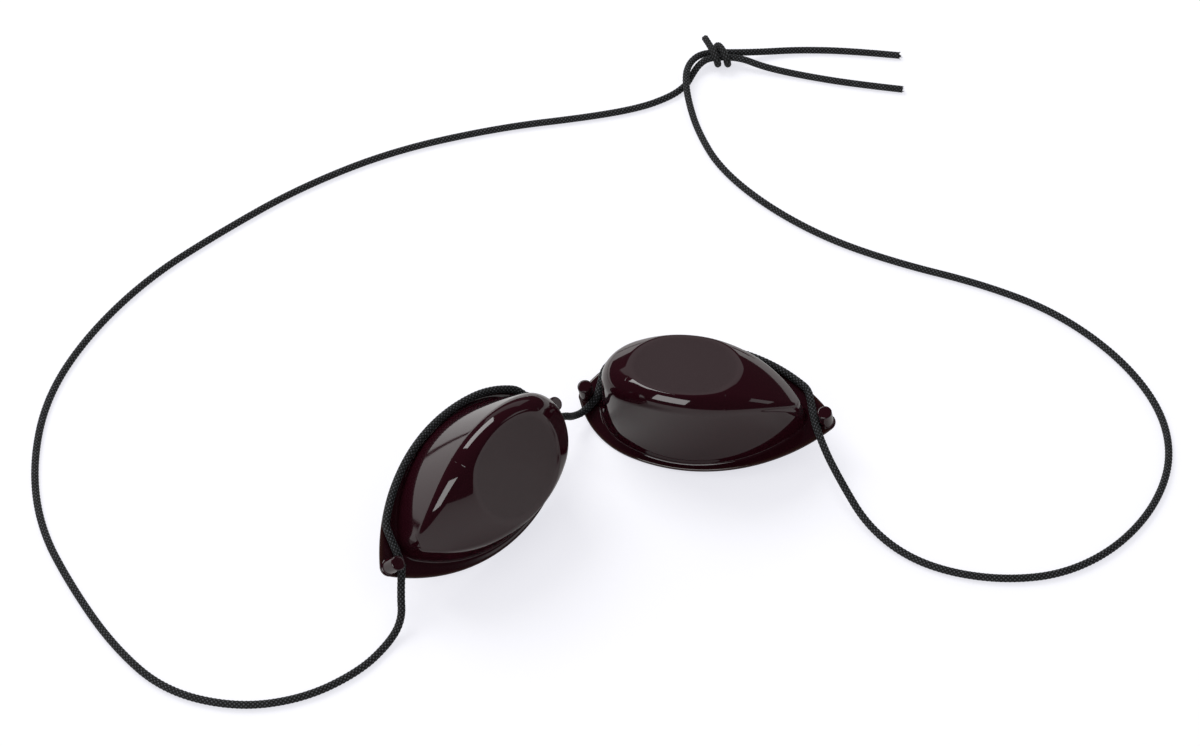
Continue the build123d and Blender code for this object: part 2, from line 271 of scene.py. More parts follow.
# Colours, as sRGB
PLUM = "270a12"
THIN_PLUM = "2e1715"
DUST = "b8b0ac"
# Braid colours for the cord and the knot: painted shade in the pockets, painted light on the ridges
CORD_SHADED_POCKET = "040505"
CORD_LIT_RIDGE = "74777e"
KNOT_SHADED_POCKET = "090909"
KNOT_LIT_RIDGE = "626468"
FILAMENT = "101011"
TABLE = "f2f2f1"
TABLE_LIFT = "f7f7ff"

# Surfaces: roughness of the polished plastic, blur of the lens face, rare small dust, and where the painted
# light on the braid's crests starts
GLOSS_RANGE = (0.035, 0.06)
LENS_BLUR = 0.2
DUST_SCALE = 300.0
DUST_RARITY = 0.93
DUST_SPOT = 0.035
LIT_CREST_START = 0.7

# Lights: place, size in metres and power in watts
KEY_PLACE = (-0.55, 0.75, 1.05)
KEY_SIZE = (0.85, 0.6)
KEY_POWER = 9.6
BACK_PLACE = (0.0, 1.6, 0.75)
BACK_SIZE = (1.6, 0.6)
BACK_POWER = 1.4
FRONT_PLACE = (-0.45, -0.78, 0.63)
FRONT_SIZE = (0.75, 0.6)
FRONT_POWER = 7.0
SIDE_PLACE = (1.05, 0.16, 0.62)
SIDE_SIZE = (0.5, 0.45)
SIDE_POWER = 0.7

# Room and table: even light, what the gloss sees of the room, and how far the table is lifted to white
FILL = 0.56
DARK_ROOM = 0.03
LIFT_SHARE = 0.55
LIFT_STRENGTH = 1.3
TABLE_HALF = 0.8

# Camera: where it stands and looks, and its focal length in the photograph's pixels
PHOTO_WIDTH = 1200
CAMERA_PLACE = (-0.00285, -0.5123, 0.6094)
CAMERA_FOCUS = (-0.00285, 0.03637, 0.0)
CAMERA_FOCAL_PIXELS = 3280.0
SENSOR_WIDTH_MM = 36.0
CAMERA_CLIP_START = 0.05


def tangent_angle(big, small):
    """The direction, seen from the big circle's centre, where a small circle touches it from inside."""
    return math.atan2(small[1] - big[1], small[0] - big[0])


def side_arc(temple_x, temple_radius, half_width):
    """The long side arc that is level at the widest place and touches a temple circle on the axis."""
    reach = temple_x - WIDEST_PLACE
    radius = (reach**2 + half_width**2 - temple_radius**2) / (2 * (half_width - temple_radius))
    return (WIDEST_PLACE, half_width - radius, radius)


def nose_arc(long_side, tip_radius):
    """The fuller arc at the nose end that touches the long side arc and the nose tip from inside."""
    reach_tip = NOSE_ARC_RADIUS - tip_radius
    reach_side = long_side[2] - NOSE_ARC_RADIUS
    spacing = math.hypot(long_side[0], long_side[1])
    along = (reach_tip**2 - reach_side**2 + spacing**2) / (2 * spacing)
    across = math.sqrt(reach_tip**2 - along**2)
    unit_x, unit_y = long_side[0] / spacing, long_side[1] / spacing
    return (along * unit_x - across * unit_y, along * unit_y + across * unit_x, NOSE_ARC_RADIUS)


def round_end(long_side, end_x):
    """The circle on the axis that ends a plan at end_x and touches the long side arc from inside."""
    reach = long_side[2] + end_x
    span = reach**2 - long_side[0] ** 2 - long_side[1] ** 2
    centre = span / (2 * (reach - long_side[0]))
    return (centre, 0.0, centre - end_x)


FLANGE_SIDE = side_arc(POST_SPACING, POST_TIP_RADIUS, CUP_HALF_WIDTH)
FLANGE_NOSE = nose_arc(FLANGE_SIDE, POST_TIP_RADIUS)
FLANGE_CIRCLES = [
    (POST_SPACING, 0.0, POST_TIP_RADIUS),
    FLANGE_SIDE,
    FLANGE_NOSE,
    (0.0, 0.0, POST_TIP_RADIUS),
]
DOME_TEMPLE = (POST_SPACING - DOME_TEMPLE_SETBACK - DOME_TEMPLE_RADIUS, 0.0, DOME_TEMPLE_RADIUS)
DOME_SIDE = side_arc(DOME_TEMPLE[0], DOME_TEMPLE_RADIUS, CUP_HALF_WIDTH - FLANGE_WIDTH)
DOME_CIRCLES = [DOME_TEMPLE, DOME_SIDE, round_end(DOME_SIDE, DOME_NOSE_SETBACK)]
LENS_NORMAL = np.array(
    [
        math.sin(LENS_TILT_ALONG),
        math.sin(LENS_TILT_ACROSS),
        math.sqrt(1 - math.sin(LENS_TILT_ALONG) ** 2 - math.sin(LENS_TILT_ACROSS) ** 2),
    ]
)


def outline(circles, angle, inset=0.0):
    """Points of a plan, given as circles from temple to nose and mirrored, by their normal's angle."""
    joints = [
        tangent_angle(*((one, two) if one[2] > two[2] else (two, one)))
        for one, two in zip(circles, circles[1:])
    ]
    folded = np.abs(np.arctan2(np.sin(angle), np.cos(angle)))
    table = np.array(circles)[np.searchsorted(joints, folded)]
    reach = table[:, 2] - inset
    along = table[:, 0] + reach * np.cos(folded)
    across = table[:, 1] + reach * np.sin(folded)
    return np.stack([along, np.where(np.sin(angle) < 0, -across, across)], axis=1)


def section_angles(count):
    """Normal angles of dome and flange at shared azimuths round the cup, closer where either turns."""
    turn = np.linspace(0, 2 * np.pi, AZIMUTH_STEPS)
    normals = []
    for circles in (DOME_CIRCLES, FLANGE_CIRCLES):
        place = outline(circles, turn)
        azimuth = np.unwrap(np.arctan2(place[:, 1], place[:, 0] - WIDEST_PLACE))
        normals.append(np.interp(turn, azimuth, turn))
    measure = turn + TURN_WEIGHT * normals[0] + TURN_WEIGHT * normals[1]
    shared = np.interp(np.arange(count) / count * measure[-1], measure, turn)
    return np.interp(shared, turn, normals[0]), np.interp(shared, turn, normals[1])


def on_ring(angle, plan, height):
    """Space points from plan points and one height or a height each."""
    return np.column_stack([plan, np.broadcast_to(height, angle.shape)])


def between(first, last, steps, ends=(True, True)):
    """Rings that lead evenly from one ring of points to another, with or without the two ends."""
    share = np.linspace(0, 1, steps + 2)[0 if ends[0] else 1 : steps + 2 if ends[1] else -1]
    return first + share[:, None, None] * (last - first)


def turning(first, last, steps):
    """Unit vectors that turn evenly from one direction to another, ring by ring."""
    angle = np.arccos(np.clip(np.sum(first * last, axis=-1), -1, 1))[..., None]
    share = np.linspace(0, 1, steps)[:, None, None]
    return (np.sin((1 - share) * angle) * first + np.sin(share * angle) * last) / np.sin(angle)


def take_along(rings, measure, targets):
    """Points part way along each column of rings, at target values of a rising measure."""
    after = (measure[:, None, :] < targets[None, :, :]).sum(axis=0)
    after = np.clip(after, 1, len(rings) - 1)
    column = np.broadcast_to(np.arange(rings.shape[1]), after.shape)
    low, high = measure[after - 1, column], measure[after, column]
    share = np.clip((targets - low) / np.maximum(high - low, TINY), 0, 1)[..., None]
    return rings[after - 1, column] * (1 - share) + rings[after, column] * share


def dome_section(cup, angle, inset, start, edge_width, steps):
    """The dome's outer or inner skin, ring by ring, from its foot to the edge of the flat lens.

    Above each plan angle a drafted wall rises to a rolling ball that touches the wall and the
    crown's sphere; the sphere then runs on towards the middle of the lens, and the whole section
    stops a little short of where it first meets the lens plane. That meeting point comes too.
    The ball is smaller round the temple end."""
    radius = cup.crown_radius - inset
    crown_centre = LENS_PLACE - LENS_NORMAL * math.sqrt(cup.crown_radius**2 - cup.lens_radius**2)
    outward = np.column_stack([np.cos(angle), np.sin(angle), np.zeros_like(angle)])
    wall_normal = outward * math.cos(DOME_DRAFT) + np.array([0, 0, math.sin(DOME_DRAFT)])
    folded = np.abs(np.arctan2(np.sin(angle), np.cos(angle)))
    fade = np.clip((folded - TEMPLE_SHOULDER_START) / TEMPLE_SHOULDER_SPAN, 0, 1)
    temple = 0.5 + 0.5 * np.cos(fade * np.pi)
    ball = cup.shoulder_radius * (1 - TEMPLE_SHOULDER_CUT * temple)
    ball = np.maximum(ball - inset, ball * LEAST_INNER_SHOULDER)[:, None]
    foot = on_ring(angle, outline(DOME_CIRCLES, angle, inset), 0.0)
    climb = np.array([0, 0, 1.0]) - math.tan(DOME_DRAFT) * outward
    offset = foot - outward * ball / math.cos(DOME_DRAFT) - crown_centre
    square = np.sum(climb**2, axis=1)
    middle = np.sum(offset * climb, axis=1)
    rest = np.sum(offset**2, axis=1) - (radius - ball[:, 0]) ** 2
    height = (np.sqrt(middle**2 - square * rest) - middle) / square
    centre = offset + crown_centre + height[:, None] * climb
    crown_way = (centre - crown_centre) / (radius - ball)
    low = foot + climb * start
    wall = between(low, centre + ball * wall_normal, WALL_STEPS)
    shoulder = centre + ball * turning(wall_normal, crown_way, SHOULDER_STEPS)
    lens_way = np.broadcast_to(LENS_NORMAL, crown_way.shape)
    crown = crown_centre + radius * turning(crown_way, lens_way, CROWN_STEPS)
    rings = np.concatenate([wall, shoulder[1:], crown[1:]])

    step = np.diff(rings, axis=0)
    length = np.linalg.norm(step, axis=2)
    way = step / np.maximum(length, TINY)[..., None]
    bend = np.linalg.norm(np.diff(way, axis=0, prepend=way[:1]), axis=2)
    zero = np.zeros((1, len(angle)))
    run = np.concatenate([zero, np.cumsum(length, axis=0)])
    measure = np.concatenate([zero, np.cumsum(length + SHOULDER_RADIUS * bend, axis=0)])
    above = (rings - LENS_PLACE + LENS_NORMAL * inset) @ LENS_NORMAL
    first = np.argmax(above > 0, axis=0)
    column = np.arange(len(angle))
    share = above[first - 1, column] / (above[first - 1, column] - above[first, column])
    meeting_run = run[first - 1, column] + share * (run[first, column] - run[first - 1, column])
    edge = take_along(rings, run, meeting_run[None, :])[0]
    stop_run = (meeting_run - edge_width)[None, :]
    stop = take_along(measure[..., None], run, stop_run)[0, :, 0]
    targets = np.linspace(0, 1, steps)[:, None] * stop
    return take_along(rings, measure, targets), edge


def evened(rings):
    """Rings whose points, from halfway up, move along them until the last ring is evenly spaced."""
    closed = np.concatenate([rings, rings[:, :1]], axis=1)
    step = np.linalg.norm(np.diff(closed, axis=1), axis=2)
    place = np.concatenate([np.zeros((len(rings), 1)), np.cumsum(step, axis=1)], axis=1)
    place /= place[:, -1:]
    even = np.arange(rings.shape[1]) / rings.shape[1]
    share = np.clip(np.linspace(-1, 1, len(rings)), 0, 1)
    share = share * share * (3 - 2 * share)
    moved = []
    for ring, run, part in zip(closed, place, share):
        target = (1 - part) * run[:-1] + part * even
        moved.append(np.stack([np.interp(target, run, values) for values in ring.T], axis=1))
    return np.array(moved)


def cup_rings(cup):
    """The whole skin of one cup as rings, from the middle of the hollow's roof to that of the lens."""
    dome_angle, flange_angle = section_angles(CUP_COLUMNS)
    outward = np.column_stack([np.cos(dome_angle), np.sin(dome_angle), np.zeros_like(dome_angle)])
    flange_way = np.column_stack([np.cos(flange_angle), np.sin(flange_angle)])
    inner, inner_edge = dome_section(cup, dome_angle, WALL, 0.0, 0.0, INNER_RINGS)
    roof = LENS_PLACE - LENS_NORMAL * WALL
    roof_middle = roof + (inner_edge - roof) * POLE_SHARE
    roof_rings = between(roof_middle, inner_edge, ROOF_RINGS, (True, False))

    edge_radius = cup.flange_edge_radius
    rim_plan = outline(FLANGE_CIRCLES, flange_angle, edge_radius)
    swing = np.linspace(0, np.pi / 2, EDGE_RINGS)[:, None, None]
    rim_out = flange_way * edge_radius * np.sin(swing)
    under_height = edge_radius * (1 - np.cos(swing))
    under_height = np.broadcast_to(under_height, rim_out[..., :1].shape)
    under = np.concatenate([rim_plan + rim_out, under_height], axis=2)
    over = under[::-1].copy()
    over[..., 2] = FLANGE_THICKNESS - over[..., 2]
    back = between(inner[0], under[0], BACK_RINGS, (False, False))

    draft_lift = JUNCTION_RADIUS * (1 - math.sin(DOME_DRAFT))
    centre_height = FLANGE_THICKNESS + JUNCTION_RADIUS
    clear = JUNCTION_RADIUS / math.cos(DOME_DRAFT) - centre_height * math.tan(DOME_DRAFT)
    foot = on_ring(dome_angle, outline(DOME_CIRCLES, dome_angle), 0.0)
    ball = foot + outward * clear + np.array([0, 0, centre_height])
    wall_normal = outward * math.cos(DOME_DRAFT) + np.array([0, 0, math.sin(DOME_DRAFT)])
    down = np.broadcast_to(np.array([0, 0, -1.0]), wall_normal.shape)
    junction = ball + JUNCTION_RADIUS * turning(down, -wall_normal, JUNCTION_RINGS)
    flange_top = between(over[-1], junction[0], FLANGE_TOP_RINGS, (False, False))

    outer, outer_edge = dome_section(
        cup, dome_angle, 0.0, FLANGE_THICKNESS + draft_lift, cup.lens_edge_width / 2, OUTER_RINGS
    )
    *outer, outer_edge = evened(np.concatenate([outer, outer_edge[None]]))
    inwards = LENS_PLACE - outer_edge
    inwards /= np.linalg.norm(inwards, axis=1)[:, None]
    lens_rim = outer_edge + inwards * cup.lens_edge_width / 2
    share = np.linspace(0, 1, BEVEL_RINGS)[:, None, None]
    bevel = (1 - share) ** 2 * outer[-1] + 2 * share * (1 - share) * outer_edge + share**2 * lens_rim
    lens_middle = LENS_PLACE + (lens_rim - LENS_PLACE) * POLE_SHARE
    lens = between(lens_rim, lens_middle, LENS_RINGS, (False, True))
    rings = [
        roof_rings,
        inner[::-1],
        back,
        under,
        over,
        flange_top,
        junction,
        np.array(outer[1:]),
        bevel[1:],
        lens,
    ]
    thin = np.concatenate([np.full(len(part), part is under or part is over) for part in rings])
    flat = np.concatenate([np.full(len(part), part is lens) for part in rings])
    return np.concatenate(rings), roof, LENS_PLACE, thin.astype(float), flat.astype(float)


def closed_grid(rings, first_pole, last_pole):
    """Points and faces of a closed skin: rings joined side by side, with a fan to each pole."""
    count, around = rings.shape[:2]
    points = np.concatenate([rings.reshape(-1, 3), [first_pole, last_pole]])
    here = np.arange(around)
    there = (here + 1) % around
    row = (np.arange(count - 1) * around)[:, None]
    quads = np.stack([row + here, row + there, row + around + there, row + around + here], axis=2)
    first = np.full(around, count * around)
    last_row = (count - 1) * around
    fan_first = np.stack([first, there, here], axis=1)
    fan_last = np.stack([first + 1, last_row + here, last_row + there], axis=1)
    return points, quads.reshape(-1, 4), np.concatenate([fan_first, fan_last])


def post_skin(cup, place_x):
    """A round cord post: a turned profile with a soft foot, a rounded top rim and closed ends."""
    edge = cup.post_edge_radius
    top = FLANGE_THICKNESS + cup.post_rise
    swing = np.linspace(0, np.pi / 2, EDGE_RINGS)
    foot_radius = cup.post_radius + POST_FLARE * (1 - np.sin(swing))
    foot_height = FLANGE_THICKNESS - POST_SINK + POST_FLARE * (1 - np.cos(swing))
    rim_radius = cup.post_radius - edge * (1 - np.cos(swing))
    rim_height = top - edge * (1 - np.sin(swing))
    inwards = np.linspace(*POST_TOP_RINGS)
    radius = np.concatenate([[foot_radius[0]], foot_radius, rim_radius, rim_radius[-1] * inwards])
    height = np.concatenate([[FLANGE_THICKNESS / 2], foot_height, rim_height, np.full(len(inwards), top)])
    angle = np.linspace(0, 2 * np.pi, POST_SIDES, endpoint=False)
    rings = np.stack(
        [
            place_x + radius[:, None] * np.cos(angle),
            radius[:, None] * np.sin(angle),
            np.broadcast_to(height[:, None], (len(height), POST_SIDES)),
        ],
        axis=2,
    )
    return closed_grid(rings, (place_x, 0, FLANGE_THICKNESS / 2), (place_x, 0, top))


def turned(heading, rise, roll):
    """The rotation that rolls about X, lifts the far end of X, then turns about Z."""
    cos_z, cos_y, cos_x = (math.cos(angle) for angle in (heading, rise, roll))
    sin_z, sin_y, sin_x = (math.sin(angle) for angle in (heading, rise, roll))
    about_z = np.array([[cos_z, -sin_z, 0], [sin_z, cos_z, 0], [0, 0, 1]])
    about_y = np.array([[cos_y, 0, -sin_y], [0, 1, 0], [sin_y, 0, cos_y]])
    about_x = np.array([[1, 0, 0], [0, cos_x, -sin_x], [0, sin_x, cos_x]])
    return about_z @ about_y @ about_x


def cup_lie(cup, node, lie):
    """The rotation and shift that lay a cup where its node of the CAD lies."""
    rotation = turned(*lie)
    points = cup_rings(cup)[0].reshape(-1, 3) @ rotation.T
    low, high = (np.array(corner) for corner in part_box(node))
    posts = np.concatenate([post_skin(cup, x)[0] for x in (0.0, POST_SPACING)]) @ rotation.T
    points = np.concatenate([points, posts])
    shift = (low + high) / 2 - (points.min(axis=0) + points.max(axis=0)) / 2
    shift[2] = low[2] - points[:, 2].min()
    return rotation, shift


def join_skins(skins):
    """Several closed skins as one list of points, of quads and of triangles."""
    starts = np.cumsum([0] + [len(points) for points, _, _ in skins])
    points = np.concatenate([skin[0] for skin in skins])
    quads = np.concatenate([skin[1] + start for skin, start in zip(skins, starts)])
    triangles = np.concatenate([skin[2] + start for skin, start in zip(skins, starts)])
    return points, quads, triangles


def mesh_object(name, points, quads, triangles, material):
    """A smooth mesh object from numpy points, quads and triangles, its normals turned outwards."""
    corner = points[triangles]
    fans = points[quads]
    volume = np.sum(corner[:, 0] * np.cross(corner[:, 1], corner[:, 2]))
    volume += np.sum(fans[:, 0] * np.cross(fans[:, 1], fans[:, 2]))
    volume += np.sum(fans[:, 0] * np.cross(fans[:, 2], fans[:, 3]))
    if volume < 0:
        quads, triangles = quads[:, ::-1], triangles[:, ::-1]
    mesh = bpy.data.meshes.new(name)
    mesh.vertices.add(len(points))
    mesh.vertices.foreach_set("co", points.astype(np.float32).ravel())
    corners = np.concatenate([quads.ravel(), triangles.ravel()]).astype(np.int32)
    mesh.loops.add(len(corners))
    mesh.loops.foreach_set("vertex_index", corners)
    mesh.polygons.add(len(quads) + len(triangles))
    quad_starts = np.arange(len(quads)) * 4
    fan_starts = quads.size + np.arange(len(triangles)) * 3
    starts = np.concatenate([quad_starts, fan_starts]).astype(np.int32)
    mesh.polygons.foreach_set("loop_start", starts)
    mesh.update(calc_edges=True)
    if mesh.validate():
        raise RuntimeError(f"{name} has faces that don't stand")
    mesh.shade_smooth()
    mesh.materials.append(material)
    made = bpy.data.objects.new(name, mesh)
    bpy.context.scene.collection.objects.link(made)
    return made


def mark(mesh, name, values):
    """Writes one value per vertex into an attribute that a material reads."""
    attribute = mesh.attributes.new(name, "FLOAT", "POINT")
    attribute.data.foreach_set("value", np.asarray(values, dtype=np.float32).ravel())


def build_cup(cup, node, lie):
    """One eye cup: flange, domed body with its hollow and flat lens, and two cord posts."""
    rings, roof, lens, *marks = cup_rings(cup)
    posts = [post_skin(cup, place_x) for place_x in (0.0, POST_SPACING)]
    points, quads, triangles = join_skins([closed_grid(rings, roof, lens), *posts])
    rotation, shift = cup_lie(cup, node, lie)
    placed = points @ rotation.T + shift
    made = mesh_object(f"moulded_{node}", placed, quads, triangles, tinted_plastic())
    for name, by_ring in zip(("thin_edge", "lens_face"), marks):
        values = np.zeros(len(points))
        values[: rings.shape[0] * rings.shape[1]] = np.repeat(by_ring, rings.shape[1])
        mark(made.data, name, values)
    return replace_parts(made, node)


def on_circle(circle, angle):
    """The point of a circle, given as its centre and radius, at an angle."""
    return (circle[0] + circle[2] * math.cos(angle), circle[1] + circle[2] * math.sin(angle))


def arc(circle, start, turn):
    """Closely spaced points of a circle from a start angle through a signed turn."""
    angle = start + np.linspace(0, turn, 2 + int(abs(turn) * circle[2] / ARC_STEP))
    return np.column_stack([circle[0] + circle[2] * np.cos(angle), circle[1] + circle[2] * np.sin(angle)])


def bend_inside(circle, place_x):
    """The cord's bend that leaves a circle from inside at the place x, and its angle there."""
    angle = math.acos((place_x - circle[0]) / circle[2])
    centre = on_circle((circle[0], circle[1], circle[2] - CORD_BEND_RADIUS), angle)
    return (centre[0], centre[1], CORD_BEND_RADIUS), angle


def crossing_angle(bend, post, side):
    """The angle on the bend where the straight run that crosses over to the post leaves it."""
    spacing = math.hypot(post[0] - bend[0], post[1] - bend[1])
    half = math.acos((bend[2] + post[2]) / spacing)
    return math.atan2(post[1] - bend[1], post[0] - bend[0]) + side * half


def rim_path(cord, nose_wrap, temple_wrap, side):
    """The held cord's line in the cup's frame: round one post, along the flange, round the other."""
    radius = cord.diameter / 2
    wrap_radius = POST_RADIUS + CORD_FIT + radius
    along = (FLANGE_SIDE[0], FLANGE_SIDE[1], FLANGE_SIDE[2] - CORD_FROM_EDGE)
    nose_along = (FLANGE_NOSE[0], FLANGE_NOSE[1], FLANGE_NOSE[2] - CORD_FROM_EDGE)
    temple_post, nose_post = (POST_SPACING, 0.0, wrap_radius), (0.0, 0.0, wrap_radius)
    temple_bend, temple_angle = bend_inside(along, TEMPLE_BEND_PLACE)
    nose_bend, nose_angle = bend_inside(nose_along, NOSE_BEND_PLACE)
    temple_cross = crossing_angle(temple_bend, temple_post, 1)
    nose_cross = crossing_angle(nose_bend, nose_post, -1) % (2 * math.pi)
    side_turn = tangent_angle(along, nose_along)
    plan = np.concatenate(
        [
            arc(temple_post, temple_cross + math.pi + temple_wrap, -temple_wrap),
            arc(temple_bend, temple_cross, temple_angle - temple_cross),
            arc(along, temple_angle, side_turn - temple_angle)[1:],
            arc(nose_along, side_turn, nose_angle - side_turn)[1:],
            arc(nose_bend, nose_angle, nose_cross - nose_angle)[1:],
            arc(nose_post, nose_cross - math.pi, -nose_wrap),
        ]
    )
    height = FLANGE_THICKNESS + CORD_ON_FLANGE + radius
    return np.column_stack([plan[:, 0], side * plan[:, 1], np.full(len(plan), height)])


def spline_path(corners):
    """The smooth line a cord takes past its route's corners, read from a curve through them."""
    curve = bpy.data.curves.new("route", "CURVE")
    curve.dimensions = "3D"
    curve.resolution_u = CURVE_STEPS
    spline = curve.splines.new("NURBS")
    spline.points.add(len(corners) - 1)
    weighted = np.column_stack([corners, np.ones(len(corners))]).astype(np.float32)
    spline.points.foreach_set("co", weighted.ravel())
    spline.order_u = 3
    spline.use_endpoint_u = True
    holder = bpy.data.objects.new("route", curve)
    mesh = bpy.data.meshes.new_from_object(holder)
    line = np.empty(3 * len(mesh.vertices), dtype=np.float32)
    mesh.vertices.foreach_get("co", line)
    bpy.data.objects.remove(holder)
    bpy.data.curves.remove(curve)
    bpy.data.meshes.remove(mesh)
    return line.reshape(-1, 3).astype(float)


def evenly(path, spacing):
    """The same line at an even spacing, and the length run at each point."""
    step = np.linalg.norm(np.diff(path, axis=0), axis=1)
    kept = step > LEAST_STEP
    path = path[np.concatenate([[True], kept])]
    run = np.concatenate([[0.0], np.cumsum(step[kept])])
    even = np.linspace(0, run[-1], 2 + int(run[-1] / spacing))
    return np.column_stack([np.interp(even, run, path[:, axis]) for axis in range(3)]), even


def unit(vectors):
    """The vectors at length one."""
    return vectors / np.linalg.norm(vectors, axis=-1, keepdims=True)


def braid(cord, turn, run):
    """Height of a round braid: two sets of ribbons wind opposite ways and pass over one another.

    A ribbon is round across and, along itself, rises over one crossing and dips under the next.
    The second value says which set lies on top."""
    one = cord.ribbons * turn + run
    two = cord.ribbons * turn - run
    one_place, two_place = np.round(one), np.round(two)
    one_rise = 0.5 + 0.5 * np.cos(np.pi * (two + one_place))
    two_rise = 0.5 - 0.5 * np.cos(np.pi * (one + two_place))
    rising = 1 - UNDER_CROSSING
    one_height = np.sqrt(np.cos(np.pi * (one - one_place)).clip(0)) * (UNDER_CROSSING + rising * one_rise)
    two_height = np.sqrt(np.cos(np.pi * (two - two_place)).clip(0)) * (UNDER_CROSSING + rising * two_rise)
    return np.maximum(one_height, two_height), (one_height > two_height).astype(float)


Line = namedtuple("Line", "points run pattern way up")


def make_line(cord, path, up):
    """A cord's centre line: even points, length run, braid pattern run, direction and upward way.

    The pattern takes an even number of ribbons over the whole line, so it meets its neighbours."""
    points, run = evenly(path, cord.diameter * BRAID_STEP_SHARE)
    ribbons = 2 * round(run[-1] / cord.ribbon_pitch / 2)
    way = unit(np.gradient(points, axis=0))
    return Line(points, run, run / run[-1] * ribbons, way, np.broadcast_to(up, points.shape))


def cut_line(line, start, end):
    """The stretch of a line between two running lengths."""
    kept = slice(np.searchsorted(line.run, start), np.searchsorted(line.run, end) + 1)
    return Line(*(values[kept] for values in line))


def cord_skin(cord, line):
    """The braided tube round a line, with its relief, and what lies on top at each point."""
    turn = np.arange(CORD_SIDES) / CORD_SIDES
    relief, over = braid(cord, turn[None, :], line.pattern[:, None])
    across = unit(np.cross(line.way, line.up))[:, None, :]
    above = np.cross(across, line.way[:, None, :])
    angle = (2 * np.pi * turn)[None, :, None]
    radius = cord.diameter / 2 + cord.relief * (relief - BRAID_MIDDLE)
    rings = line.points[:, None, :] + radius[..., None] * (across * np.cos(angle) + above * np.sin(angle))
    skin = closed_grid(rings, line.points[0], line.points[-1])
    return skin, np.append(relief.ravel(), [0, 0]), np.append(over.ravel(), [0, 0])


def fray_skins(cord, tip, way, seed):
    """Fine filaments that splay from a cut end: thin tapering tubes along gently bent lines."""
    draw = np.random.default_rng(seed)
    count = FRAY_COUNT
    side = unit(np.cross(way, [0, 0, 1.0]))
    above = np.cross(side, way)
    angle, reach = draw.uniform(0, 2 * np.pi, count), np.sqrt(draw.uniform(0, 1, count))
    spread = np.cos(angle)[:, None] * side + np.sin(angle)[:, None] * above
    length = draw.uniform(FRAY_SHORTEST, 1.0, count)[:, None] * cord.fray_length
    lean = draw.normal(0, FRAY_LEAN, (count, 3))
    share = np.linspace(0, 1, FRAY_RINGS)[None, :, None]
    root = tip - way * cord.diameter / 4 + spread * reach[:, None] * cord.diameter * FRAY_ROOT
    heading = way + FRAY_SPREAD * spread * reach[:, None]
    line = root[:, None] + (heading * length)[:, None] * share + (lean * length)[:, None] * share**2
    line[..., 2] = np.maximum(line[..., 2], FRAY_RADIUS)
    turn = np.arange(FRAY_SIDES) / FRAY_SIDES * 2 * np.pi
    ring = np.cos(turn)[:, None] * side + np.sin(turn)[:, None] * above
    radius = (FRAY_RADIUS * (1 - FRAY_TAPER * share))[..., None]
    rings = line[:, :, None, :] + radius * ring
    return [closed_grid(rings[each], line[each, 0], line[each, -1]) for each in range(count)]


def build_cord(cord, name, line, material):
    """A stretch of braided cord as a mesh object, with what its material reads written on it."""
    (points, quads, triangles), relief, over = cord_skin(cord, line)
    made = mesh_object(name, points, quads, triangles, material)
    mark(made.data, "relief", relief)
    mark(made.data, "over", over)
    turn = np.append(np.tile(np.arange(CORD_SIDES) / CORD_SIDES, len(line.run)), [0, 0])
    run = np.append(np.repeat(line.pattern, CORD_SIDES), line.pattern[[0, -1]])
    corner = np.empty(len(made.data.loops), dtype=np.int32)
    made.data.loops.foreach_get("vertex_index", corner)
    place = np.column_stack([turn[corner], run[corner]])
    face = np.repeat(np.arange(len(made.data.polygons)), [len(p) for p in (*quads, *triangles)])
    widest = np.zeros(len(made.data.polygons))
    np.maximum.at(widest, face, place[:, 0])
    place[:, 0] += (widest[face] - place[:, 0] > 0.5) * 1.0
    layer = made.data.uv_layers.new(name="braid")
    layer.data.foreach_set("uv", place.astype(np.float32).ravel())
    return made


def node(tree, kind, inputs=(), **settings):
    """Adds a shader node with its settings; an input is given as a value or as another's socket."""
    made = tree.nodes.new(kind)
    for name, value in settings.items():
        setattr(made, name, value)
    for key, value in dict(inputs).items():
        if isinstance(value, bpy.types.NodeSocket):
            tree.links.new(value, made.inputs[key])
        else:
            made.inputs[key].default_value = value
    return made


def maths(tree, operation, *values):
    """The result of a math node, whose inputs are numbers or sockets in order."""
    return node(tree, "ShaderNodeMath", dict(enumerate(values)), operation=operation).outputs[0]


def mixed(tree, share, one, two):
    """The colour between two others at a share."""
    return node(tree, "ShaderNodeMix", {0: share, 6: one, 7: two}, data_type="RGBA").outputs[2]


def linear(code):
    """The linear colour, with full alpha, of an sRGB hex code."""
    parts = [int(code[place : place + 2], 16) / 255 for place in (0, 2, 4)]
    return [p / 12.92 if p <= 0.04045 else ((p + 0.055) / 1.055) ** 2.4 for p in parts] + [1.0]


def new_material(name):
    """A node material with nothing in it but its output, or None for one that is already built."""
    if name in bpy.data.materials:
        return bpy.data.materials[name], None
    made = bpy.data.materials.new(name)
    made.use_nodes = True
    made.node_tree.nodes.clear()
    return made, made.node_tree


